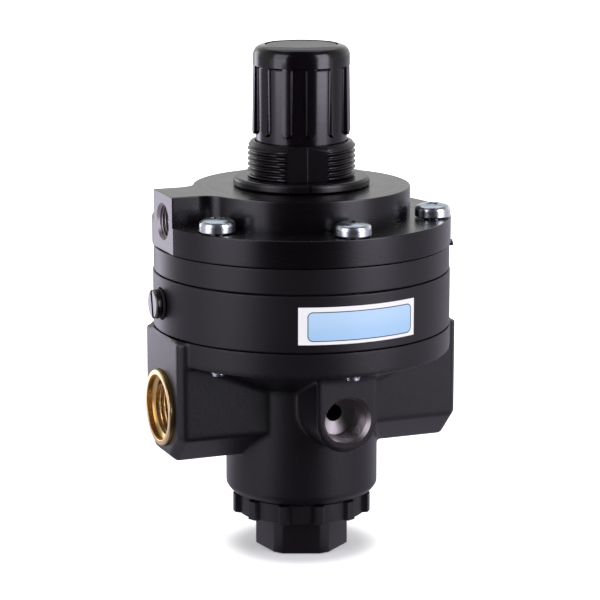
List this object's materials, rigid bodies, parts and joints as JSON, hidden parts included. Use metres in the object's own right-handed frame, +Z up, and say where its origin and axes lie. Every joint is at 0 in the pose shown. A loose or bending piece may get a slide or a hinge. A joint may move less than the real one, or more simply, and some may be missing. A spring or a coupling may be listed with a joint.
{
  "type": "air pressure booster",
  "caption": "Pneumatic volume booster: round diaphragm housing on a ported valve body, with a ribbed push-lock adjusting knob on top and a hexagonal plug below",
  "frame": {"origin": "centre of the flat underside of the bottom plug", "axes": "+Z up along the knob's axis, X along the main ports with the signal port at -X, gauge ports facing -Y and +Y"},
  "size_m": [0.0884, 0.0844, 0.1446],
  "materials": {
    "adjusting_spindle": "turned",
    "body_gasket": "matt black",
    "bonnet": "satin black",
    "bottom_plug": "satin black",
    "bypass_o_ring": "matt black",
    "bypass_screw": "turned",
    "cover_screw_1": "bright zinc plate",
    "cover_screw_2": "bright zinc plate",
    "cover_screw_3": "bright zinc plate",
    "cover_screw_4": "bright zinc plate",
    "cover_screw_5": "bright zinc plate",
    "cover_screw_6": "bright zinc plate",
    "diaphragm_spacer": "turned",
    "exhaust_stem": "turned",
    "feedback_diaphragm": "matt black",
    "knob": "glossy black",
    "knob_cap": "dark grey",
    "knob_retaining_screw": "bright zinc plate",
    "lower_body": "fine-textured black coat on die casting",
    "lower_diaphragm_plate": "turned",
    "mid_ring": "black anodised, turned",
    "plug_o_ring": "matt black",
    "poppet_seal": "matt black",
    "port_bush_left": "turned",
    "port_bush_right": "turned",
    "range_spring": "turned",
    "signal_diaphragm": "matt black",
    "spacer_ring": "black anodised, turned",
    "spindle_o_ring": "matt black",
    "spring_nut": "turned",
    "stack_nut": "bright zinc plate",
    "stem_o_ring": "matt black",
    "thrust_washer": "turned",
    "top_cover": "black anodised, turned",
    "upper_diaphragm_plate": "turned",
    "valve_poppet": "turned",
    "valve_spring": "turned"
  },
  "bodies": {
    "housing": {"lower_body": "lower_body", "bottom_plug": "bottom_plug", "plug_o_ring": "plug_o_ring", "port_bush_left": "port_bush_left", "port_bush_right": "port_bush_right", "body_gasket": "body_gasket", "mid_ring": "mid_ring", "stem_o_ring": "stem_o_ring", "feedback_diaphragm": "feedback_diaphragm", "spacer_ring": "spacer_ring", "signal_diaphragm": "signal_diaphragm", "top_cover": "top_cover", "bonnet": "bonnet", "spindle_o_ring": "spindle_o_ring", "thrust_washer": "thrust_washer", "valve_spring": "valve_spring", "range_spring": "range_spring", "cover_screw_1": "cover_screw_1", "cover_screw_2": "cover_screw_2", "cover_screw_3": "cover_screw_3", "cover_screw_4": "cover_screw_4", "cover_screw_5": "cover_screw_5", "cover_screw_6": "cover_screw_6"},
    "spindle": {"adjusting_spindle": "adjusting_spindle", "knob_retaining_screw": "knob_retaining_screw"},
    "knob": {"knob": "knob", "knob_cap": "knob_cap"},
    "spring_nut": {"spring_nut": "spring_nut"},
    "diaphragm_stack": {"lower_diaphragm_plate": "lower_diaphragm_plate", "upper_diaphragm_plate": "upper_diaphragm_plate", "diaphragm_spacer": "diaphragm_spacer", "exhaust_stem": "exhaust_stem", "stack_nut": "stack_nut"},
    "poppet": {"valve_poppet": "valve_poppet", "poppet_seal": "poppet_seal"},
    "bypass_seal": {"bypass_o_ring": "bypass_o_ring"},
    "bypass_screw": {"bypass_screw": "bypass_screw"}
  },
  "joints": [
    {"name": "spindle_turn", "type": "hinge", "parent": "housing", "child": "spindle", "pos_m": [0, 0, 0.125], "axis": [0, 0, -1], "range_deg": [0, 1800]},
    {"name": "spring_nut_travel", "type": "slide", "parent": "housing", "child": "spring_nut", "axis": [0, 0, -1], "range_m": [0, 0.00625], "deforming": ["range_spring"]},
    {"name": "knob_lock", "type": "slide", "parent": "spindle", "child": "knob", "axis": [0, 0, -1], "range_m": [0, 0.0016]},
    {"name": "diaphragm_travel", "type": "slide", "parent": "housing", "child": "diaphragm_stack", "axis": [0, 0, -1], "range_m": [0, 0.0015], "stiffness_N_per_m": 1500, "springref_m": -0.003, "deforming": ["feedback_diaphragm", "signal_diaphragm"]},
    {"name": "poppet_travel", "type": "slide", "parent": "housing", "child": "poppet", "axis": [0, 0, -1], "range_m": [0, 0.0015], "deforming": ["valve_spring"]},
    {"name": "bypass_feed", "type": "slide", "parent": "housing", "child": "bypass_seal", "axis": [-1, 0, 0], "range_m": [0, 0.0024]},
    {"name": "bypass_turn", "type": "hinge", "parent": "bypass_seal", "child": "bypass_screw", "pos_m": [-0.043, 0, 0.0739], "axis": [-1, 0, 0], "range_deg": [0, 1080]}
  ],
  "couplings": [
    {"joint": "spindle_turn", "follows": "spring_nut_travel", "rad_per_m": 5026.5},
    {"joint": "poppet_travel", "follows": "diaphragm_travel", "ratio": 1},
    {"joint": "bypass_turn", "follows": "bypass_feed", "rad_per_m": 7854}
  ]
}
